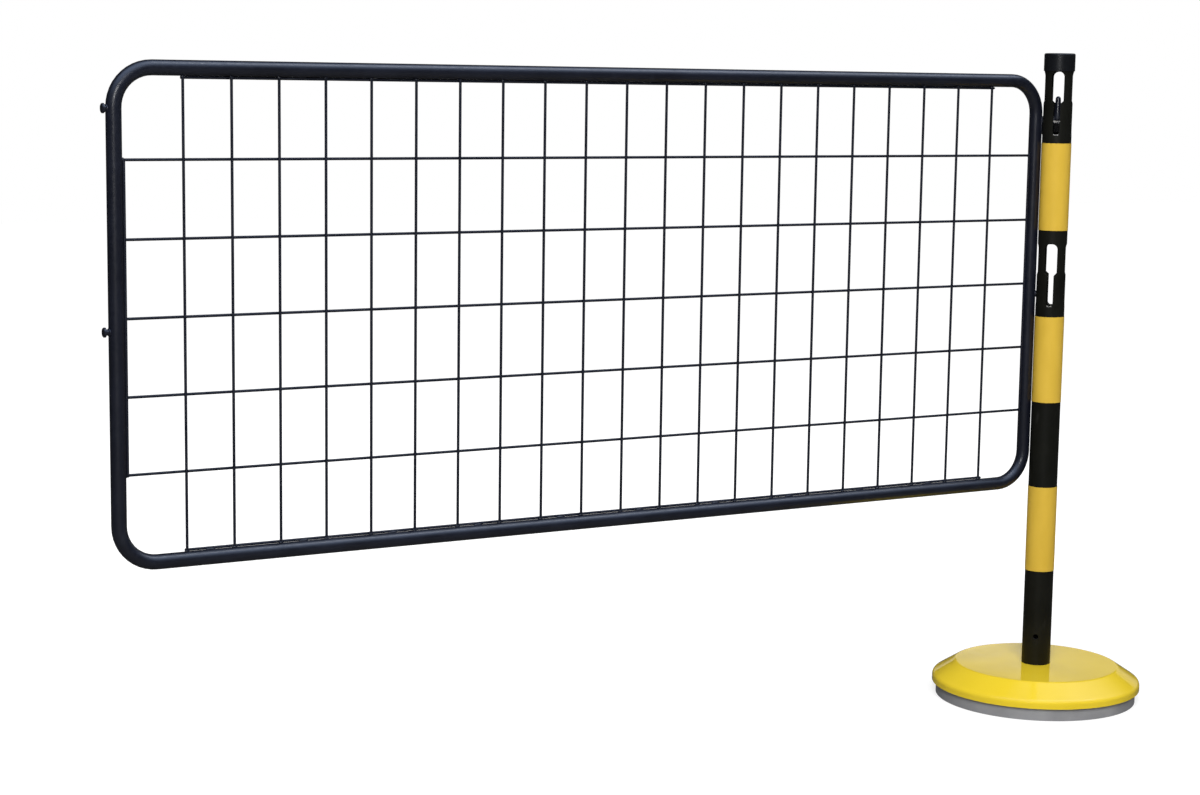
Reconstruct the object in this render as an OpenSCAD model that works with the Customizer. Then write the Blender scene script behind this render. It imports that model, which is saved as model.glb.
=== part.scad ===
// Portable machine guard fence panel: a mesh panel in a round tube frame,
// hooked into the keyholes of a banded post that stands on a round base.
// The post is the origin: z = 0 is the underside of the base, and the panel
// reaches out along -X. Millimetres, +Z up.

/* [Panel frame] */
// Length of the panel over its two upright legs
panel_length = 1500; // [600:10:2400]
// Height of the panel over its two rails
panel_height = 650; // [300:2:1200]
// Rise of the panel's upper edge above the foot of the upper keyholes
panel_rise = 92.2; // [80:0.1:300]
// Outside diameter of the bent frame tube
frame_tube_d = 20; // [12:0.5:40]
// Radius of the corner bends at the middle of the tube
corner_radius = 50; // [25:1:150]

/* [Wire mesh] */
// Diameter of the mesh wires
wire_d = 3.8; // [2:0.2:8]
// Distance between neighbouring upright wires
column_pitch = 65; // [30:1:200]
// Distance between neighbouring level wires
row_pitch = 100; // [30:1:200]
// Number of full-height upright wires
column_count = 21; // [3:2:41]
// Number of full-length level wires
row_count = 5; // [1:2:15]
// Depth that two crossing wires are pressed into each other by the weld
weld_depth = 0.8; // [0.2:0.1:2]
// Gap left for the weld between a welded-on piece and the frame tube
weld_gap = 0.1; // [0.05:0.05:0.5]

/* [Studs] */
// Diameter of the round head of a stud
stud_head_d = 12.8; // [8:0.1:30]
// Thickness of the head of a stud
stud_head_t = 3; // [1:0.1:10]
// Bevel round the outer face of the head
stud_head_bevel = 0.8; // [0:0.1:2]
// Diameter of the neck of a stud
stud_neck_d = 8; // [4:0.1:16]
// Height of the upper stud above the foot of the upper keyholes
stud_upper_rise = 31.2; // [0:0.1:90]
// Height of the lower studs above the foot of the lower keyholes
stud_lower_rise = 17.4; // [0:0.1:90]
// Free neck between the leg and the head of the upper left stud
upper_neck_gap = 2.6; // [0.5:0.1:12]
// Free neck between the leg and the head of the lower left stud
lower_neck_gap = 4.4; // [0.5:0.1:12]
// Play between the wall of the post and the head of the stud behind it
stud_wall_gap = 1.5; // [0.3:0.1:6]

/* [Hook] */
// Thickness of the hook's neck where it passes the slot
hook_neck_t = 8; // [4:0.1:16]
// Height of the hook's neck
hook_neck_height = 28; // [10:0.5:60]
// Diameter of the hook's upright pin at its round foot, wider than the slot
hook_pin_d = 12; // [10:0.1:30]
// Diameter of the pin's round tip
hook_tip_d = 8; // [4:0.1:24]
// Height of the hook's pin
hook_pin_height = 40; // [20:0.5:80]
// Distance from the foot of the neck up to the foot of the pin
hook_pin_rise = 19; // [0:0.5:40]
// Play between the hook's neck and the foot of the slot it rests in
hook_seat_gap = 0.3; // [0.1:0.1:2]

/* [Post] */
// Outside diameter of the post tube
post_d = 45; // [30:0.1:90]
// Wall thickness of the post tube
post_wall = 2; // [1:0.1:5]
// Height of the top end of the post tube above the floor
post_top = 1015.7; // [600:0.5:1600]
// Turn of the post, and so of its keyholes, about its own axis
post_turn = 45; // [0:1:90]
// Gap between the panel's leg and the post
leg_gap = 0.8; // [0.3:0.1:10]

/* [Keyholes] */
// Width of the upper, wide part of a keyhole
keyhole_wide = 19; // [12:0.5:36]
// Width of the lower, narrow part of a keyhole
keyhole_narrow = 10.4; // [6:0.1:30]
// Height of the narrow part, from its rounded foot to the shoulder
keyhole_narrow_height = 48; // [20:0.5:90]
// Whole height of a keyhole
keyhole_height = 97; // [40:0.5:160]
// Distance from the top end of the post down to the upper keyholes
keyhole_margin = 24.9; // [5:0.1:200]
// Distance from the upper keyholes down to the lower keyholes
keyhole_drop = 266; // [120:1:800]
// Radius of the two upper corners of a keyhole
keyhole_corner = 8; // [1:0.5:10]

/* [Warning bands] */
// Thickness of the yellow bands round the post
band_t = 0.4; // [0.2:0.1:2]
// Height of each band, yellow or bare
band_height = 135; // [40:1:300]
// Distance from the foot of the upper keyholes down to the first yellow band
band_margin = 13; // [0:0.1:100]
// Play between a band and the tube
band_gap = 0.05; // [0.02:0.01:0.3]

/* [Cap] */
// Thickness of the cap over the end of the tube
cap_t = 3.2; // [1:0.1:10]
// Wall of the cap's skirt outside the tube
cap_skirt_t = 1.2; // [0.6:0.1:4]
// Depth of the cap's skirt below the end of the tube
cap_skirt_depth = 24; // [5:0.5:40]
// Radius of the cap's upper edge
cap_edge_r = 2.6; // [0.5:0.1:4]
// Depth of the cap's plug inside the tube
cap_plug_depth = 12; // [5:0.5:40]
// Wall of the cap's plug
cap_plug_t = 2; // [1:0.1:5]
// Play between the cap and the tube
cap_gap = 0.1; // [0.05:0.05:0.5]

/* [Base] */
// Outside diameter of the yellow base cover
cover_d = 327; // [200:1:600]
// Height of the lower edge of the cover's skirt above the floor
cover_edge_z = 20; // [5:0.5:60]
// Height of the straight skirt of the cover
cover_skirt = 7; // [3:0.5:40]
// Height of the cover from the lower edge of its skirt to its flat top
cover_rise = 34; // [20:0.5:80]
// Diameter at which the flat top starts to round over into the sloping rim
cover_flat_d = 252; // [100:1:400]
// Radius of the two rounded edges of the rim
cover_edge_r = 8; // [3:0.5:20]
// Wall of the base cover
cover_t = 2; // [1:0.1:5]
// Diameter of the grey foot under the cover
foot_d = 314; // [150:1:590]
// Play between the cover and the foot inside it
cover_gap = 0.2; // [0.1:0.1:2]

/* [Spigot] */
// Play between the post and the spigot that it stands over
spigot_gap = 0.3; // [0.1:0.1:2]
// Wall thickness of the spigot
spigot_wall = 3; // [1.5:0.1:8]
// Height of the foot of the spigot, cast into the foot, above the floor
spigot_foot_z = 10; // [4:0.5:50]
// Length of the spigot
spigot_length = 130; // [60:1:300]
// Diameter of the cross hole for the post's locking screw
cross_hole_d = 8.5; // [4:0.1:14]
// Height of the cross hole above the floor
cross_hole_z = 100; // [70:0.5:280]

/* [Hidden] */
$fn = 96;
eps = 0.01;

frame_r = frame_tube_d / 2;
post_r = post_d / 2;
post_bore_r = post_r - post_wall;
wire_r = wire_d / 2;
cover_r = cover_d / 2;
spigot_r = post_bore_r - spigot_gap;

// Heights on the post are counted down from its top end.
keyhole_upper_z = post_top - keyhole_margin - keyhole_height;
keyhole_lower_z = keyhole_upper_z - keyhole_drop;
hook_foot_z = keyhole_upper_z + hook_seat_gap;
stud_upper_z = keyhole_upper_z + stud_upper_rise;
stud_lower_z = keyhole_lower_z + stud_lower_rise;
panel_middle = keyhole_upper_z + panel_rise - panel_height / 2;
band_top = keyhole_upper_z - band_margin;

// The right leg stands behind and left of the post, outside a keyhole.
leg_reach = post_r + leg_gap + frame_r;
leg_x = -leg_reach * cos(post_turn);
leg_y = leg_reach * sin(post_turn);
leg_span = panel_length - frame_tube_d;
far_leg_x = leg_x - leg_span;
middle_x = (leg_x + far_leg_x) / 2;
rail_rise = panel_height / 2 - frame_r;

// The outer wires of the mesh lie against the inner side of the tube.
wire_step = wire_d - weld_depth;
wire_seat = sqrt(pow(frame_r + wire_r + weld_gap, 2) - pow(wire_step / 2, 2));
mesh_half_length = leg_span / 2 - wire_seat;
mesh_half_height = rail_rise - wire_seat;
column_half = (column_count - 1) / 2 * column_pitch;
row_half = (row_count - 1) / 2 * row_pitch;

// The post stands on the cover's flat top. The rim slopes at the angle of the
// line between the middles of its two rounded edges.
cover_top_z = cover_edge_z + cover_rise;
low_edge = [cover_r - cover_edge_r, cover_edge_z + cover_skirt];
high_edge = [cover_flat_d / 2, cover_top_z - cover_edge_r];
rim_turn = atan2(high_edge[1] - low_edge[1], high_edge[0] - low_edge[0]) - 90;

coat = [0.07, 0.08, 0.10];
black = [0.06, 0.06, 0.05];
yellow = [0.89, 0.74, 0.18];
grey = [0.50, 0.50, 0.51];
zinc = [0.45, 0.46, 0.48];

// Points on a circle about a middle, from one angle to another.
function arc_points(middle, r, from, to, steps) =
  [for (step = [0 : steps])
    let (a = from + (to - from) * step / steps)
      middle + r * [cos(a), sin(a)]];

// ---- Panel ----------------------------------------------------------------

// A quarter of a ring: the tube's bend about (x, z), from a given angle on.
module bend(x, z, from) {
  translate([x, 0, z])
    rotate([90, 0, 0])
      rotate([0, 0, from])
        rotate_extrude(angle = 90)
          translate([corner_radius, 0])
            circle(r = frame_r);
}

module frame_tube() {
  straight_x = leg_span / 2 - corner_radius;
  straight_z = rail_rise - corner_radius;
  color(coat)
    translate([middle_x, leg_y, panel_middle])
      union() {
        for (side = [-1, 1]) {
          translate([side * leg_span / 2, 0, -straight_z])
            cylinder(r = frame_r, h = 2 * straight_z);
          translate([-straight_x, 0, side * rail_rise])
            rotate([0, 90, 0])
              cylinder(r = frame_r, h = 2 * straight_x);
        }
        bend(straight_x, straight_z, 0);
        bend(-straight_x, straight_z, 90);
        bend(-straight_x, -straight_z, 180);
        bend(straight_x, -straight_z, 270);
      }
}

module level_wire(z, half_length) {
  translate([-half_length, wire_step / 2, z])
    rotate([0, 90, 0])
      cylinder(d = wire_d, h = 2 * half_length, $fn = 12);
}

module upright_wire(x, half_height) {
  translate([x, -wire_step / 2, -half_height])
    cylinder(d = wire_d, h = 2 * half_height, $fn = 12);
}

// The outer wires run only as far as the wires that cross them, so the four
// corner cells are closed by the bends of the tube alone.
module wire_mesh() {
  color(coat)
    translate([middle_x, leg_y, panel_middle])
      union() {
        for (row = [0 : row_count - 1])
          level_wire(row * row_pitch - row_half, mesh_half_length);
        for (column = [0 : column_count - 1])
          upright_wire(column * column_pitch - column_half, mesh_half_height);
        for (side = [-1, 1]) {
          level_wire(side * mesh_half_height, column_half + wire_r);
          upright_wire(side * mesh_half_length, row_half + wire_r);
        }
      }
}

// Keeps what lies outside the frame tube: the children stand on a leg that
// runs up the Z axis, with the gap that the weld fills.
module welded_on_leg(height) {
  difference() {
    children();
    translate([0, 0, -height])
      cylinder(r = frame_r + weld_gap, h = 2 * height);
  }
}

// A headed stud on a leg, pointing along +X from the leg's axis.
module stud(neck_gap) {
  neck_end = frame_r + neck_gap;
  head_r = stud_head_d / 2;
  welded_on_leg(stud_head_d)
    rotate([0, 90, 0])
      rotate_extrude()
        polygon([
          [0, frame_r / 2],
          [stud_neck_d / 2, frame_r / 2],
          [stud_neck_d / 2, neck_end],
          [head_r, neck_end],
          [head_r, neck_end + stud_head_t - stud_head_bevel],
          [head_r - stud_head_bevel, neck_end + stud_head_t],
          [0, neck_end + stud_head_t]
        ]);
}

module at_left_leg(z) {
  translate([far_leg_x, leg_y, z])
    rotate([0, 0, 180])
      children();
}

// Turns a piece so that it points from the right leg at the post's axis.
module at_right_leg(z) {
  translate([leg_x, leg_y, z])
    rotate([0, 0, -post_turn])
      children();
}

module left_stud_upper() {
  color(coat) at_left_leg(stud_upper_z) stud(upper_neck_gap);
}

module left_stud_lower() {
  color(coat) at_left_leg(stud_lower_z) stud(lower_neck_gap);
}

module right_stud_lower() {
  color(coat)
    at_right_leg(stud_lower_z)
      stud(leg_gap + post_wall + stud_wall_gap);
}

// A turned pin standing on the origin, with a round foot and a round tip.
module hook_pin() {
  foot_r = hook_pin_d / 2;
  tip_r = hook_tip_d / 2;
  tip_z = hook_pin_height - tip_r;
  taper = asin((foot_r - tip_r) / (tip_z - foot_r));
  rotate_extrude()
    polygon(concat(
      arc_points([0, foot_r], foot_r, -90, taper, 12),
      arc_points([0, tip_z], tip_r, taper, 90, 12)
    ));
}

// A flat neck that rests in the round foot of the slot, and a pin that stands
// up at the neck's end, on the post's axis, wider than the slot.
module right_hook_upper() {
  neck_r = hook_neck_t / 2;
  neck_start = frame_r / 2;
  neck_length = leg_reach + neck_r - neck_start;
  color(coat)
    at_right_leg(hook_foot_z)
      welded_on_leg(hook_neck_height * 2)
        union() {
          translate([neck_start, -neck_r, neck_r])
            cube([neck_length, hook_neck_t, hook_neck_height - neck_r]);
          translate([neck_start, 0, neck_r])
            rotate([0, 90, 0])
              cylinder(r = neck_r, h = neck_length);
          translate([leg_reach, 0, hook_pin_rise])
            hook_pin();
        }
}

// ---- Post -----------------------------------------------------------------

// A keyhole standing on the origin: a narrow slot with a round foot, sloping
// shoulders, and a wide mouth with rounded upper corners.
module keyhole_outline() {
  narrow_r = keyhole_narrow / 2;
  wide_half = keyhole_wide / 2;
  mouth_z = keyhole_narrow_height + wide_half - narrow_r;
  corner_x = wide_half - keyhole_corner;
  corner_z = keyhole_height - keyhole_corner;
  translate([0, narrow_r])
    circle(r = narrow_r);
  translate([-narrow_r, narrow_r])
    square([keyhole_narrow, keyhole_narrow_height - narrow_r]);
  polygon([
    [-narrow_r, keyhole_narrow_height - eps],
    [narrow_r, keyhole_narrow_height - eps],
    [wide_half, mouth_z],
    [-wide_half, mouth_z]
  ]);
  translate([-wide_half, mouth_z - eps])
    square([keyhole_wide, corner_z - mouth_z + eps]);
  translate([-corner_x, mouth_z])
    square([2 * corner_x, keyhole_height - mouth_z]);
  for (side = [-1, 1])
    translate([side * corner_x, corner_z])
      circle(r = keyhole_corner);
}

// Keyholes on all four sides of the tube, with their feet at one height.
module keyhole_cuts(z) {
  for (turn = [0 : 90 : 270])
    rotate([0, 0, turn])
      translate([0, 0, z])
        rotate([90, 0, 90])
          linear_extrude(post_d)
            keyhole_outline();
}

// The cross hole goes through one wall, below a keyhole on the panel's side.
module cross_hole_cut() {
  translate([0, 0, cross_hole_z])
    rotate([0, -90, 0])
      cylinder(d = cross_hole_d, h = post_d);
}

module post_tube() {
  tube_length = post_top - cover_top_z;
  color(black)
    rotate([0, 0, post_turn])
      difference() {
        translate([0, 0, cover_top_z])
          cylinder(r = post_r, h = tube_length);
        translate([0, 0, cover_top_z - 1])
          cylinder(r = post_bore_r, h = tube_length + 2);
        keyhole_cuts(keyhole_upper_z);
        keyhole_cuts(keyhole_lower_z);
        cross_hole_cut();
      }
}

// Yellow bands, with a bare band of the same height below each.
module band(number) {
  color(yellow)
    translate([0, 0, band_top - (2 * number + 1) * band_height])
      difference() {
        cylinder(r = post_r + band_t, h = band_height);
        translate([0, 0, -1])
          cylinder(r = post_r + band_gap, h = band_height + 2);
      }
}

module band_upper() { band(0); }
module band_middle() { band(1); }
module band_lower() { band(2); }

// A cap with a skirt outside the tube and a hollow plug inside it.
module post_cap() {
  cap_r = post_r + cap_gap + cap_skirt_t;
  plug_r = post_bore_r - cap_gap;
  seat_z = cap_gap;
  top_z = seat_z + cap_t;
  color(black)
    translate([0, 0, post_top])
      rotate_extrude() {
        translate([0, seat_z])
          square([cap_r, cap_t - cap_edge_r]);
        translate([0, top_z - cap_edge_r])
          square([cap_r - cap_edge_r, cap_edge_r]);
        translate([cap_r - cap_edge_r, top_z - cap_edge_r])
          intersection() {
            circle(r = cap_edge_r);
            square(cap_edge_r);
          }
        translate([post_r + cap_gap, -cap_skirt_depth])
          square([cap_skirt_t, cap_skirt_depth + seat_z + eps]);
        translate([plug_r - cap_plug_t, -cap_plug_depth])
          square([cap_plug_t, cap_plug_depth + seat_z + eps]);
      }
}

// ---- Base -----------------------------------------------------------------

// Half of the cover's section, made smaller all over by the inset.
module cover_section(inset) {
  r = cover_edge_r - inset;
  polygon(concat(
    [[0, 0], [cover_r - inset, 0]],
    arc_points(low_edge, r, 0, rim_turn, 6),
    arc_points(high_edge, r, rim_turn, 90, 6),
    [[0, cover_top_z - inset]]
  ));
}

// A pressed shell with a hole for the spigot: the post stands on its middle.
module base_cover() {
  color(yellow)
    rotate_extrude($fn = 180)
      difference() {
        cover_section(0);
        cover_section(cover_t);
        translate([-1, -1])
          square([cover_r + 2, cover_edge_z + 1]);
        translate([-1, 0])
          square([spigot_r + cover_gap + 1, cover_top_z + 1]);
      }
}

// The cast foot fills the cover and shows as a narrower ring below it.
module base_foot() {
  color(grey)
    rotate_extrude($fn = 180)
      difference() {
        union() {
          square([foot_d / 2, cover_edge_z + eps]);
          intersection() {
            cover_section(cover_t + cover_gap);
            translate([0, cover_edge_z])
              square([cover_r, cover_top_z]);
          }
        }
        translate([-1, spigot_foot_z - cover_gap])
          square([spigot_r + cover_gap + 1, cover_top_z]);
      }
}

module base_spigot() {
  color(zinc)
    rotate([0, 0, post_turn])
      translate([0, 0, spigot_foot_z])
        difference() {
          cylinder(r = spigot_r, h = spigot_length);
          translate([0, 0, spigot_wall])
            cylinder(r = spigot_r - spigot_wall, h = spigot_length);
          translate([0, 0, -spigot_foot_z])
            cross_hole_cut();
        }
}

frame_tube();
wire_mesh();
left_stud_upper();
left_stud_lower();
right_hook_upper();
right_stud_lower();
post_tube();
band_upper();
band_middle();
band_lower();
post_cap();
base_cover();
base_foot();
base_spigot();
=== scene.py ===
# %% [markdown]
# # A machine guard fence panel
#
# The solids of this panel come ready made from its construction drawing: a
# bent tube frame with a wire mesh, and a banded post on a round base. This
# lesson dresses them. It gives each solid the finish of the real thing, adds
# the weld beads that a drawing leaves out, and sets up a camera and a plain
# studio. Everything is in metres, and the floor is z = 0.

# %% Load the solids
import math

import bmesh
import bpy
from mathutils import Matrix, Vector, noise


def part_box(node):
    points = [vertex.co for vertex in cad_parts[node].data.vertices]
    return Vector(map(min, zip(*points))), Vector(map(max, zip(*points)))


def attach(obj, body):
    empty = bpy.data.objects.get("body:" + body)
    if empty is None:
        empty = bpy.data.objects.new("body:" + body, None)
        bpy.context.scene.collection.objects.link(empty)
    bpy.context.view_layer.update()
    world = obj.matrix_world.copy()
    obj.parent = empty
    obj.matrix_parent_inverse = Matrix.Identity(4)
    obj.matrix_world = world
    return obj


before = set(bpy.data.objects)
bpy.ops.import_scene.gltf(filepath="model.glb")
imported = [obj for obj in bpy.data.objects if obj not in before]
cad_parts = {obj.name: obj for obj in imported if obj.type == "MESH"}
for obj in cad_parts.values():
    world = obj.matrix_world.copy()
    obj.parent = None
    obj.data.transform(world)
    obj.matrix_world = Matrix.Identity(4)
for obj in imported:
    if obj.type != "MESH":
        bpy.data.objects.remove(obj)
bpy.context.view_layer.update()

# %% [markdown]
# ## The camera
#
# The panel is seen from its left, a little from above, through a long lens
# that keeps the upright wires almost parallel. A camera can be aimed at a
# point of the object, but then it swings whenever that point is changed. So
# its place and its turn are given as plain numbers here, and it stays put
# when pieces are added. It stands about 3.7 m away from the post.

# %% Camera
sensor_mm, lens_mm = 36.0, 70.19
camera_place = (-2.4392, -2.8174, 0.9697)
camera_turn_degrees = (82.245, -0.817, -29.883)

view_data = bpy.data.cameras.new("view")
view_data.sensor_width = sensor_mm
view_data.lens = lens_mm
view = bpy.data.objects.new("view", view_data)
view.location = camera_place
view.rotation_euler = [math.radians(angle) for angle in camera_turn_degrees]
bpy.context.scene.collection.objects.link(view)
bpy.context.scene.camera = view
print("camera at", camera_place, "with a lens of", lens_mm, "mm")

# %% [markdown]
# ## Helpers for the finishes
#
# Every finish below is a small network of nodes. It could lie on a flat map
# of the surface, but the solids have no such map. So it starts from the
# piece's own Object coordinates: a pattern then keeps its real size in
# metres and stays on the piece when the piece moves. A few helpers do what
# each network needs: noise at a given grain, a ramp between tones, a blend
# of two colours, a step of arithmetic, and a bump from a grey value.

# %% Node helpers
def start_finish(name):
    """A new material: its nodes, links, shader and Object coordinates."""
    material = bpy.data.materials.new(name)
    material.use_nodes = True
    nodes, links = material.node_tree.nodes, material.node_tree.links
    shader = nodes["Principled BSDF"]
    place = nodes.new("ShaderNodeTexCoord").outputs["Object"]
    return material, nodes, links, shader, place


def split(nodes, links, place):
    """The three ways X, Y and Z of a place, each as a grey value."""
    ways = nodes.new("ShaderNodeSeparateXYZ")
    links.new(place, ways.inputs[0])
    return ways.outputs


def grain(nodes, links, place, size, detail=2.0, stretch=(1, 1, 1)):
    """Noise with blotches of about the given size in metres."""
    turn = nodes.new("ShaderNodeMapping")
    turn.inputs["Scale"].default_value = stretch
    links.new(place, turn.inputs["Vector"])
    cloud = nodes.new("ShaderNodeTexNoise")
    cloud.inputs["Scale"].default_value = 1.0 / size
    cloud.inputs["Detail"].default_value = detail
    links.new(turn.outputs["Vector"], cloud.inputs["Vector"])
    return cloud.outputs["Fac"]


def tones(nodes, links, value, stops):
    """Turns a grey value into a tone, by a list of values with their tones."""
    node = nodes.new("ShaderNodeValToRGB")
    steps = node.color_ramp.elements
    while len(steps) < len(stops):
        steps.new(0.5)
    for step, (at, tone) in zip(steps, stops):
        if isinstance(tone, (int, float)):
            tone = (tone, tone, tone)
        step.position = at
        step.color = (*tone, 1.0)
    links.new(value, node.inputs["Fac"])
    return node.outputs["Color"]


def ramp(nodes, links, value, low, high, start=0.3, end=0.7):
    """Turns a grey value into a tone between two colours or two greys."""
    return tones(nodes, links, value, [(start, low), (end, high)])


def blend(nodes, links, value, below, above):
    """Puts a plain colour over a tone by a grey value."""
    node = nodes.new("ShaderNodeMix")
    node.data_type = "RGBA"
    links.new(value, node.inputs["Factor"])
    links.new(below, node.inputs["A"])
    node.inputs["B"].default_value = (*above, 1.0)
    return node.outputs["Result"]


def reckon(nodes, links, operation, first, second=0.0, clamp=False):
    """One step of arithmetic on a grey value and a number or a second value."""
    node = nodes.new("ShaderNodeMath")
    node.operation = operation
    node.use_clamp = clamp
    links.new(first, node.inputs[0])
    if isinstance(second, (int, float)):
        node.inputs[1].default_value = second
    else:
        links.new(second, node.inputs[1])
    return node.outputs[0]


def close_to(nodes, links, value, middle, reach):
    """1 at the middle, 0 where the value is further off than the reach."""
    off = reckon(nodes, links, "SUBTRACT", value, middle)
    off = reckon(nodes, links, "ABSOLUTE", off)
    off = reckon(nodes, links, "MULTIPLY", off, -3.0 / reach)
    return reckon(nodes, links, "ADD", off, 3.0, clamp=True)


def under(nodes, links, value, level, steepness):
    """0 above a level, growing to 1 below it."""
    depth = reckon(nodes, links, "SUBTRACT", value, level)
    return reckon(nodes, links, "MULTIPLY", depth, -steepness, clamp=True)


def bump(nodes, links, shader, value, strength, depth):
    """Raises the surface by a grey value, up to a depth in metres."""
    node = nodes.new("ShaderNodeBump")
    node.inputs["Strength"].default_value = strength
    node.inputs["Distance"].default_value = depth
    links.new(value, node.inputs["Height"])
    links.new(node.outputs["Normal"], shader.inputs["Normal"])


def dress(node_name, material):
    """Gives one of the ready-made solids its finish."""
    mesh = bpy.data.objects[node_name].data
    mesh.materials.clear()
    mesh.materials.append(material)
    print(node_name, "wears", material.name)


print("helpers ready")

# %% [markdown]
# ## Powder coat
#
# The frame, its mesh and what is welded to it are coated together in a
# blue-black satin powder. The powder melts into a skin with a fine orange
# peel, so the light on it is soft-edged. One noise would look like dirt, so
# three of different size make it: broad patches where the coat is thinner, a
# few rubbed streaks where panels were stacked on each other, and the peel
# itself. Where steel slides on steel the coat is worn through, and a
# function that reads the coordinates says where. That bright steel is also a
# painted highlight for the light that the lower edges there catch. On the
# thin wires the coat is flatter and its peel finer, or their light would
# break up into dots.

# %% Powder coat
blue_black = ((0.0040, 0.0048, 0.0090), (0.0065, 0.0078, 0.0140), (0.010, 0.012, 0.018))
# bright bare steel for worn places, also used as a painted highlight on the lower edges where it
# shows
bare_steel_and_highlight_tone = (0.68, 0.66, 0.62)


def powder_coat(name, coat_tones, rough, shine, bared_and_highlit=None, peel_depth=0.0002):
    """A coat of powder, with an optional function for its places worn to bright steel, which is
    also a painted highlight.
    """
    material, nodes, links, shader, place = start_finish(name)
    deep, thin, rubbed = coat_tones
    patches = grain(nodes, links, place, size=0.05, detail=3.0)
    skin = ramp(nodes, links, patches, deep, thin)
    streaks = grain(nodes, links, place, size=0.018, detail=4.0, stretch=(1, 1, 0.3))
    worn = ramp(nodes, links, streaks, 0.0, 1.0, start=0.66, end=0.74)
    skin = blend(nodes, links, worn, skin, rubbed)
    fine = grain(nodes, links, place, size=0.006)
    links.new(ramp(nodes, links, fine, rough - 0.05, rough + 0.07),
              shader.inputs["Roughness"])
    if bared_and_highlit:
        # partly painted highlight: the worn places are bright steel that also stands in for the
        # light these lower edges catch
        steel = bared_and_highlit(nodes, links, place)
        scratches = grain(nodes, links, place, size=0.0020, detail=3.0)
        steel = reckon(nodes, links, "MULTIPLY", steel,
                       ramp(nodes, links, scratches, 0.4, 1.0, start=0.35, end=0.5))
        skin = blend(nodes, links, steel, skin, bare_steel_and_highlight_tone)
        links.new(steel, shader.inputs["Metallic"])
    links.new(skin, shader.inputs["Base Color"])
    peel = grain(nodes, links, place, size=0.0012, detail=1.0)
    bump(nodes, links, shader, peel, strength=0.12, depth=peel_depth)
    shader.inputs["Specular IOR Level"].default_value = shine
    return material


frame_coat = powder_coat("frame_coat", blue_black, rough=0.34, shine=0.75, peel_depth=0.0001)
for name in ("frame_tube", "left_stud_upper", "left_stud_lower", "right_stud_lower"):
    dress(name, frame_coat)
wire_coat = powder_coat("wire_coat", blue_black, rough=0.50, shine=0.45, peel_depth=0.00004)
dress("wire_mesh", wire_coat)

# %% [markdown]
# ## Hook
#
# The hook hangs in the upper keyhole, and its pin is what people see and
# touch there. It wears the frame's coat, polished at the pin's tip and
# duller further down. Where the pin's foot rubs on the tube, the coat is
# worn to a bright steel arc, and that arc is also a painted highlight for
# the light the rounded foot catches. The neck below sits deep in the slot,
# and its colour is painted nearly black: painted shade for the slot's
# shadow. Four separate materials would leave hard edges between them.
# Instead one coat changes with the height on the pin.

# %% Hook coat
hook_low, hook_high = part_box("right_hook_upper")
neck_height, polish_length = 0.019, 0.010
pin_foot_z = hook_low[2] + neck_height
polish_ends_z = hook_high[2] - polish_length
neck_top_z = pin_foot_z - 0.0010
# painted shade: the nearly black colour the neck gets, where the slot's shadow falls
painted_slot_shade = (0.0008, 0.0008, 0.0010)
dullest, neck_smoothing = 0.6, 0.78


# partly painted highlight: the bright steel arc round the pin's foot is wear and also stands in
# for the light its rounded foot catches
def pin_foot(nodes, links, place):
    """1 on the arc round the foot of the pin, 0 elsewhere."""
    ways = split(nodes, links, place)
    level = close_to(nodes, links, ways["Z"], pin_foot_z + 0.0012, 0.0016)
    near_x = close_to(nodes, links, ways["X"], 0.0, 0.0080)
    return reckon(nodes, links, "MULTIPLY", level, near_x)


def dull_hook_and_shade_neck(material):
    """Dulls the coat below the polished tip, and paints the neck nearly black as painted shade."""
    nodes, links = material.node_tree.nodes, material.node_tree.links
    shader = nodes["Principled BSDF"]
    height = split(nodes, links, nodes["Texture Coordinate"].outputs["Object"])["Z"]
    dulled = under(nodes, links, height, polish_ends_z, steepness=45.0)
    dulled = reckon(nodes, links, "MULTIPLY", dulled, dullest)
    rough = shader.inputs["Roughness"].links[0].from_socket
    rough = reckon(nodes, links, "MAXIMUM", rough, dulled)
    # painted shade: below the pin's foot the colour turns nearly black for the shadow in the slot
    neck = under(nodes, links, height, neck_top_z, steepness=1500.0)
    skin = shader.inputs["Base Color"].links[0].from_socket
    links.new(blend(nodes, links, neck, skin, painted_slot_shade), shader.inputs["Base Color"])
    smoothed = reckon(nodes, links, "MULTIPLY", neck, -neck_smoothing)
    smoothed = reckon(nodes, links, "ADD", smoothed, 1.0)
    links.new(reckon(nodes, links, "MULTIPLY", rough, smoothed), shader.inputs["Roughness"])


hook_coat = powder_coat("hook_coat", blue_black, rough=0.22, shine=1.00, bared_and_highlit=pin_foot,
                        peel_depth=0.00001)
dull_hook_and_shade_neck(hook_coat)
dress("right_hook_upper", hook_coat)
print("the pin stands at z", round(pin_foot_z, 4))

# %% [markdown]
# ## Post and cap
#
# The post wears a black enamel with a trace of green in it, flatter than the
# frame's coat. At the foot of each keyhole the necks of hooks and studs have
# rubbed it down to the steel, and that bright steel is also a painted
# highlight for the light that these lower edges catch. Those eight places
# could be marked one by one, but the keyholes look along the diagonals, so
# their feet lie where x and y are equally long, and two heights and that one
# rule find them all. The cap is moulded plastic. Its fine grain and soft
# light are so close to a coat of powder that the same function makes it, in
# its own tones.

# %% Post enamel and cap plastic
foot_below_top, between_rows = 0.1219, 0.266
upper_foot_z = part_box("post_tube")[1][2] - foot_below_top
lower_foot_z = upper_foot_z - between_rows
green_black = ((0.0042, 0.0042, 0.0030), (0.0070, 0.0070, 0.0052), (0.012, 0.012, 0.010))
cap_black = ((0.0038, 0.0042, 0.0052), (0.0062, 0.0068, 0.0082), (0.014, 0.015, 0.018))


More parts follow.
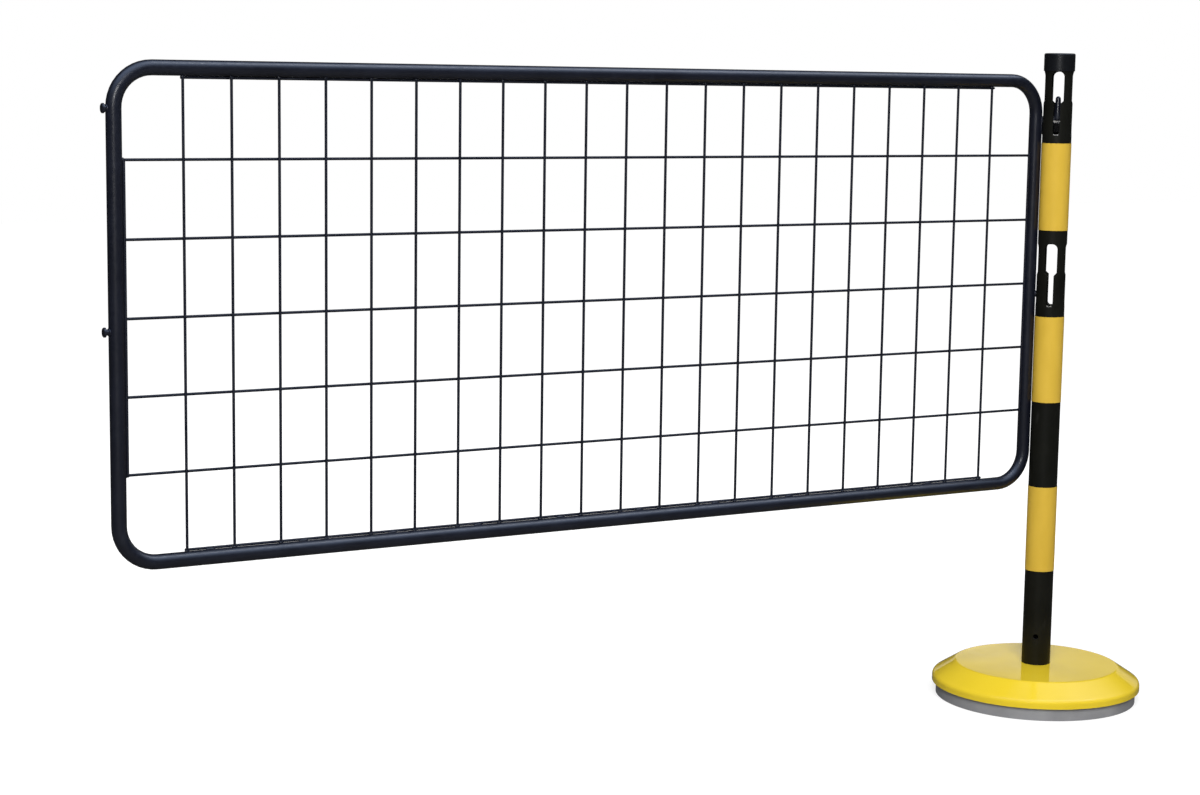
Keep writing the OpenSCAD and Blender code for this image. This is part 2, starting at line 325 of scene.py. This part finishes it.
# partly painted highlight: the bright steel at the keyhole feet is wear and also stands in for the
# light these lower edges catch
def keyhole_feet(nodes, links, place):
    """1 at the feet of the keyholes, 0 elsewhere."""
    ways = split(nodes, links, place)
    upper = close_to(nodes, links, ways["Z"], upper_foot_z + 0.0003, 0.0011)
    lower = close_to(nodes, links, ways["Z"], lower_foot_z + 0.0003, 0.0011)
    feet = reckon(nodes, links, "MAXIMUM", upper, lower)
    wide = reckon(nodes, links, "ABSOLUTE", ways["X"])
    deep = reckon(nodes, links, "ABSOLUTE", ways["Y"])
    diagonal = reckon(nodes, links, "SUBTRACT", wide, deep)
    diagonal = close_to(nodes, links, diagonal, 0.0, 0.0056)
    return reckon(nodes, links, "MULTIPLY", feet, diagonal)


dress("post_tube", powder_coat("post_paint", green_black, rough=0.45, shine=0.22,
                               bared_and_highlit=keyhole_feet))
dress("post_cap", powder_coat("cap_plastic", cap_black, rough=0.36, shine=0.42,
                              peel_depth=0.0001))
print("keyhole feet at z", round(upper_foot_z, 4), "and", round(lower_foot_z, 4))

# %% [markdown]
# ## Bands
#
# The yellow bands are a film wrapped round the post. A film is smoother than
# enamel but not a mirror, and it is a little uneven in tone along its
# height, so its patches are stretched that way. One material serves all
# three bands, because they are cut from one roll, and Object coordinates
# give each band its own part of the pattern.

# %% Band film
def band_film(name):
    """Yellow film, uneven along its height."""
    material, nodes, links, shader, place = start_finish(name)
    patches = grain(nodes, links, place, size=0.03, detail=3.0, stretch=(1, 1, 0.35))
    links.new(ramp(nodes, links, patches, (0.534, 0.346, 0.037), (0.588, 0.384, 0.046)),
              shader.inputs["Base Color"])
    fine = grain(nodes, links, place, size=0.004)
    links.new(ramp(nodes, links, fine, 0.42, 0.52), shader.inputs["Roughness"])
    peel = grain(nodes, links, place, size=0.0015, detail=1.0)
    bump(nodes, links, shader, peel, strength=0.06, depth=0.0002)
    shader.inputs["Specular IOR Level"].default_value = 0.25
    return material


band_yellow = band_film("band_yellow")
for name in ("band_upper", "band_middle", "band_lower"):
    dress(name, band_yellow)

# %% [markdown]
# ## Base
#
# The cover is pressed steel under a glossy yellow paint that mirrors the
# post and the pale wall behind it. A perfect mirror would look like glass,
# so a very shallow flow in the paint bends the picture a little. The foot
# that shows under the cover is a plain grey casting, dull and finely pored.
# The spigot inside the post is bare steel. It shows only in the small cross
# hole, so it gets a plain dull metal and no more.

# %% Cover paint
def gloss_paint(name):
    """Yellow paint with a shallow flow."""
    material, nodes, links, shader, place = start_finish(name)
    patches = grain(nodes, links, place, size=0.09, detail=3.0)
    links.new(ramp(nodes, links, patches, (0.690, 0.505, 0.024), (0.730, 0.538, 0.032)),
              shader.inputs["Base Color"])
    fine = grain(nodes, links, place, size=0.010, detail=3.0)
    links.new(ramp(nodes, links, fine, 0.05, 0.09), shader.inputs["Roughness"])
    flow = grain(nodes, links, place, size=0.030, detail=1.0)
    bump(nodes, links, shader, flow, strength=0.03, depth=0.0004)
    shader.inputs["Specular IOR Level"].default_value = 0.36
    return material


dress("base_cover", gloss_paint("cover_yellow"))

# %% Foot casting
def casting(name):
    """Grey casting with fine pores."""
    material, nodes, links, shader, place = start_finish(name)
    patches = grain(nodes, links, place, size=0.04, detail=4.0)
    links.new(ramp(nodes, links, patches, (0.220, 0.220, 0.228), (0.285, 0.285, 0.293)),
              shader.inputs["Base Color"])
    links.new(ramp(nodes, links, patches, 0.72, 0.86), shader.inputs["Roughness"])
    pores = grain(nodes, links, place, size=0.0025, detail=3.0)
    bump(nodes, links, shader, pores, strength=0.25, depth=0.0006)
    return material


dress("base_foot", casting("foot_grey"))

# %% Spigot steel
def bare_steel(name):
    """Dull bare steel."""
    material, nodes, links, shader, place = start_finish(name)
    patches = grain(nodes, links, place, size=0.010, detail=3.0)
    links.new(ramp(nodes, links, patches, (0.10, 0.10, 0.11), (0.18, 0.18, 0.19)),
              shader.inputs["Base Color"])
    links.new(ramp(nodes, links, patches, 0.30, 0.48), shader.inputs["Roughness"])
    shader.inputs["Metallic"].default_value = 0.85
    fine = grain(nodes, links, place, size=0.0008)
    bump(nodes, links, shader, fine, strength=0.15, depth=0.0002)
    return material


dress("base_spigot", bare_steel("zinc"))

# %% [markdown]
# ## Welds
#
# On the real panel every wire that ends at the tube is held by a small blob
# of weld, and the outer wires are tacked to the tube between them. A smooth
# ball would look like a bead on a string. So a blob is a sphere of a few
# dozen faces, stretched and pushed about a little, because no two welds are
# alike. The pushes come from noise, which Blender starts from the clock
# unless it is given a number. With one, the lumps are the same on every run.
# The studs and the hook stand on the legs in a bead that runs round them: a
# small circle, spun about the stud's axis and then laid down on the curve of
# the tube. Spinning is quicker and more even than modelling the bead by
# hand, and it closes on itself.

# %% Places on the panel
tube_low, tube_high = (Vector(corner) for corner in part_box("frame_tube"))
mesh_low, mesh_high = (Vector(corner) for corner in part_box("wire_mesh"))
tube_r = (tube_high.y - tube_low.y) / 2
panel_mid = (tube_low + tube_high) / 2
wire_r = 0.0019
mesh_half_x = (mesh_high.x - mesh_low.x) / 2 - wire_r
mesh_half_z = (mesh_high.z - mesh_low.z) / 2 - wire_r
column_pitch, row_pitch = 0.065, 0.100
column_places = [column_pitch * step for step in range(-10, 11)]
row_places = [row_pitch * step for step in range(-2, 3)]
print("tube radius", round(tube_r, 4), "panel middle", tuple(panel_mid))

# %% Weld helpers
lump_seed = 1
noise.seed_set(lump_seed)


def push_about(corners, depth, per_metre):
    """Moves corners a little, each its own way."""
    for corner in corners:
        corner.co += depth * noise.noise_vector(corner.co * per_metre)


def bead(shape, middle, reach, turn=0.0):
    """A blob of weld with three half sizes, turned about Z."""
    place = (Matrix.Translation(middle) @ Matrix.Rotation(turn, 4, "Z")
             @ Matrix.Diagonal((*reach, 1.0)))
    made = bmesh.ops.create_icosphere(shape, subdivisions=2, radius=1.0, matrix=place)
    push_about(made["verts"], depth=0.0005, per_metre=500)


def ring_bead(shape, leg, turn, neck_r, bead_r=0.0012):
    """A bead round a stud that stands on a leg, pointing at the given turn."""
    start = Matrix.Translation((tube_r, 0, neck_r)) @ Matrix.Rotation(math.pi / 2, 4, "X")
    circle = bmesh.ops.create_circle(shape, segments=8, radius=bead_r, matrix=start)
    corners = circle["verts"]
    edges = list(dict.fromkeys(edge for corner in corners for edge in corner.link_edges))
    before = set(shape.verts) - set(corners)
    bmesh.ops.spin(shape, geom=corners + edges, cent=(0, 0, 0), axis=(1, 0, 0),
                   angle=2 * math.pi, steps=28, use_merge=True)
    ring = [corner for corner in shape.verts if corner not in before]
    for corner in ring:
        corner.co.x += math.sqrt(tube_r ** 2 - corner.co.y ** 2) - tube_r
    push_about(ring, depth=0.0003, per_metre=700)
    bmesh.ops.transform(shape, verts=ring,
                        matrix=Matrix.Translation(leg) @ Matrix.Rotation(turn, 4, "Z"))


def finish_piece(name, shape, body, material):
    """Turns the faces outwards, makes the object and gives it its body."""
    bmesh.ops.remove_doubles(shape, verts=shape.verts, dist=0.00001)
    bmesh.ops.recalc_face_normals(shape, faces=shape.faces)
    mesh = bpy.data.meshes.new(name)
    shape.to_mesh(mesh)
    shape.free()
    for face in mesh.polygons:
        face.use_smooth = True
    mesh.materials.append(material)
    piece = bpy.data.objects.new(name, mesh)
    bpy.context.scene.collection.objects.link(piece)
    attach(piece, body)
    print(name, "has", len(mesh.polygons), "faces")


print("weld helpers ready, with lumps from seed", lump_seed)

# %% Welds of the mesh
end_out, tack_out = 0.0012, 0.0016
column_y, row_y, tack_y = -0.0010, 0.0005, 0.0002
column_weld, row_weld = (0.0032, 0.0026, 0.0022), (0.0022, 0.0028, 0.0032)
level_tack, upright_tack = (0.0070, 0.0016, 0.0016), (0.0016, 0.0016, 0.0070)
cut_end = (0.0038, 0.0020, 0.0020)

welds = bmesh.new()
for side in (-1, 1):
    for x in column_places:
        bead(welds, panel_mid + Vector((x, column_y, side * (mesh_half_z + end_out))), column_weld)
    for z in row_places:
        bead(welds, panel_mid + Vector((side * (mesh_half_x + end_out), row_y, z)), row_weld)
    for x in column_places[:-1:2]:
        between = Vector((x + column_pitch / 2, tack_y, side * (mesh_half_z + tack_out)))
        bead(welds, panel_mid + between, level_tack)
    for z in row_places[:-1]:
        between = Vector((side * (mesh_half_x + tack_out), -tack_y, z + row_pitch / 2))
        bead(welds, panel_mid + between, upright_tack)
for side in (-1, 1):
    past_last = Vector((column_places[-1] + 0.0030, 0, side * mesh_half_z))
    bead(welds, panel_mid + past_last, cut_end)
finish_piece("mesh_welds", welds, "panel", frame_coat)

# %% Welds of the studs and the hook
near_leg = Vector((tube_high.x - tube_r, panel_mid.y, 0.0))
far_leg = Vector((tube_low.x + tube_r, panel_mid.y, 0.0))
to_post = -math.pi / 4
stud_r = 0.004
hook_weld = (0.0013, 0.0014, 0.0130)
weld_bite, weld_aside, weld_height = 0.0006, 0.0044, 0.0135

roots = bmesh.new()
for name, leg, turn in (("left_stud_upper", far_leg, math.pi),
                        ("left_stud_lower", far_leg, math.pi),
                        ("right_stud_lower", near_leg, to_post)):
    low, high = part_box(name)
    ring_bead(roots, leg + Vector((0, 0, (low[2] + high[2]) / 2)), turn, stud_r)
for side in (-1, 1):
    beside = Vector((tube_r - weld_bite, side * weld_aside, 0))
    beside = Matrix.Rotation(to_post, 3, "Z") @ beside
    bead(roots, near_leg + beside + Vector((0, 0, hook_low[2] + weld_height)), hook_weld, to_post)
finish_piece("stud_welds", roots, "panel", frame_coat)

# %% [markdown]
# ## Floor
#
# A plain pale floor carries the shadow of the base. Lit by lamps alone it
# would never quite meet the white around it, and brighter lamps would bleach
# the object. So the floor glows, for the camera only: less close to the
# post, where the shadow has to stay, and almost to white a metre away.
# In the mirror of the cover it is dark, as a workshop floor would be.

# %% Floor
grid = bmesh.new()
bmesh.ops.create_grid(grid, x_segments=1, y_segments=1, size=12.0)
floor_mesh = bpy.data.meshes.new("floor")
grid.to_mesh(floor_mesh)
grid.free()
floor = bpy.data.objects.new("floor", floor_mesh)
bpy.context.scene.collection.objects.link(floor)

floor_paint, nodes, links, shader, place = start_finish("floor_paint")
shader.inputs["Roughness"].default_value = 0.9
shader.inputs["Specular IOR Level"].default_value = 0.0
shader.inputs["Emission Color"].default_value = (1.0, 1.0, 1.0, 1.0)
ray = nodes.new("ShaderNodeLightPath").outputs
from_post = nodes.new("ShaderNodeVectorMath")
from_post.operation = "LENGTH"
links.new(place, from_post.inputs[0])
lift = ramp(nodes, links, from_post.outputs["Value"], 0.72, 0.96, start=0.30, end=1.0)
lift = reckon(nodes, links, "MULTIPLY", ray["Is Camera Ray"], lift)
links.new(lift, shader.inputs["Emission Strength"])
links.new(ramp(nodes, links, ray["Is Glossy Ray"], 0.35, 0.08, start=0.0, end=1.0),
          shader.inputs["Base Color"])
floor_mesh.materials.append(floor_paint)
print("floor laid,", 2 * max(corner.co.x for corner in floor_mesh.vertices), "m across")

# %% [markdown]
# ## Room
#
# A world of one plain colour lights well but gives gloss nothing to mirror.
# This one has three faces. For the camera it is pure white. For the light on
# the pieces it is a dim grey, so that the lamps shape them. In the mirror of
# a coat it is a room: dark in front and at eye level, bluish overhead, and
# behind the panel a pale wall, with a dark curtain above a slanting edge.
# The wall makes the cover's flat top pale, and the curtain shades part of it.

# %% Room
world = bpy.data.worlds.new("studio")
bpy.context.scene.world = world
world.use_nodes = True
nodes, links = world.node_tree.nodes, world.node_tree.links
nodes.clear()
ray = nodes.new("ShaderNodeLightPath").outputs
ways = split(nodes, links, nodes.new("ShaderNodeTexCoord").outputs["Generated"])


def glow(colour, strength):
    """A background that shines in one colour."""
    node = nodes.new("ShaderNodeBackground")
    node.inputs["Color"].default_value = (*colour, 1.0)
    node.inputs["Strength"].default_value = strength
    return node


def choose(value, otherwise, where):
    """One background where the value is 1, and another where it is 0."""
    node = nodes.new("ShaderNodeMixShader")
    links.new(value, node.inputs["Fac"])
    links.new(otherwise.outputs[0], node.inputs[1])
    links.new(where.outputs[0], node.inputs[2])
    return node


plain_white = (1.0, 1.0, 1.0)
room = glow(plain_white, 2.2)
links.new(tones(nodes, links, ways["Z"], [(0.10, (0.010, 0.010, 0.012)),
                                          (0.45, (0.05, 0.06, 0.08)),
                                          (0.85, (0.54, 0.69, 1.0))]), room.inputs["Color"])
wall = glow(plain_white, 1.0)
links.new(tones(nodes, links, ways["Z"], [(0.03, 0.04), (0.16, 0.94),
                                          (0.60, (0.59, 0.65, 0.78))]), wall.inputs["Color"])
along_wall = tones(nodes, links, ways["X"], [(0.585, 0.58), (0.610, 1.0), (0.655, 0.40)])
links.new(reckon(nodes, links, "MULTIPLY", along_wall, 1.3), wall.inputs["Strength"])

slant = reckon(nodes, links, "MULTIPLY", ways["X"], -0.321)
over_edge = reckon(nodes, links, "ADD", ways["Z"], slant)
drawn = ramp(nodes, links, over_edge, 0.0, 1.0, start=0.0425, end=0.0444)
back = choose(drawn, wall, glow((0.03, 0.03, 0.03), 1.0))
behind = ramp(nodes, links, ways["Y"], 0.0, 1.0, start=0.0, end=0.35)
mirrored = choose(behind, room, back)
lit = choose(ray["Is Glossy Ray"], glow((0.96, 0.98, 1.0), 0.16), mirrored)
seen = choose(ray["Is Camera Ray"], lit, glow(plain_white, 1.0))
out = nodes.new("ShaderNodeOutputWorld")
links.new(seen.outputs[0], out.inputs["Surface"])
print("room ready, with", len(nodes), "nodes")

# %% [markdown]
# ## Lamps
#
# One lamp at the camera's side would light everything flatly. Here a broad
# key from the front left models the post and the rim of the cover, and a
# smaller lamp overhead lights the flat top. Two lamps at the back stand to
# the left and right of the post rather than straight behind it, so that its
# shadow doesn't fall where the cover mirrors it. Soft lamps still show as
# hard squares in a gloss, so most of these leave no glint. Two do it for
# them: a long strip overhead, which draws the even light along the rails,
# and a lamp in front, which puts the spark on the hook's pin.

# %% Lamps
def soft_lamp(name, place, aim, size, watts, mirrored, shines=True):
    """A lamp with two side lengths; it may leave no glint, or nothing but a glint."""
    lamp_data = bpy.data.lights.new(name, "AREA")
    lamp_data.shape = "RECTANGLE"
    lamp_data.size, lamp_data.size_y = size
    lamp_data.energy = watts
    lamp = bpy.data.objects.new(name, lamp_data)
    lamp.location = place
    lamp.rotation_euler = (Vector(aim) - Vector(place)).to_track_quat("-Z", "Y").to_euler()
    lamp.visible_glossy = mirrored
    lamp.visible_diffuse = shines
    bpy.context.scene.collection.objects.link(lamp)
    print(name, "lamp of", watts, "W at", place)


soft_lamp("key", (-2.4, -3.2, 2.65), (-0.3, 0, 0.4), (2.0, 2.0), 186, mirrored=False)
soft_lamp("top", (-0.50, -0.58, 3.6), (0, 0, 0.05), (0.6, 0.6), 40, mirrored=False)
soft_lamp("top_glint", (0.80, -0.58, 3.6), (0.80, 0, 0.5), (3.4, 0.9), 24, mirrored=True,
          shines=False)
soft_lamp("back_left", (-0.3, 3.4, 2.4), (-0.2, 0, 0.4), (1.8, 1.8), 33, mirrored=False)
soft_lamp("back_right", (3.4, 0.3, 2.4), (-0.2, 0, 0.4), (1.8, 1.8), 33, mirrored=False)
soft_lamp("fill", (2.4, -2.8, 2.0), (-0.2, 0, 0.5), (1.6, 1.6), 12, mirrored=False)
soft_lamp("glint", (-2.9, -3.3, 1.9), (0, 0, 0.3), (0.8, 0.8), 30, mirrored=True)
bpy.context.scene.view_settings.view_transform = "Standard"
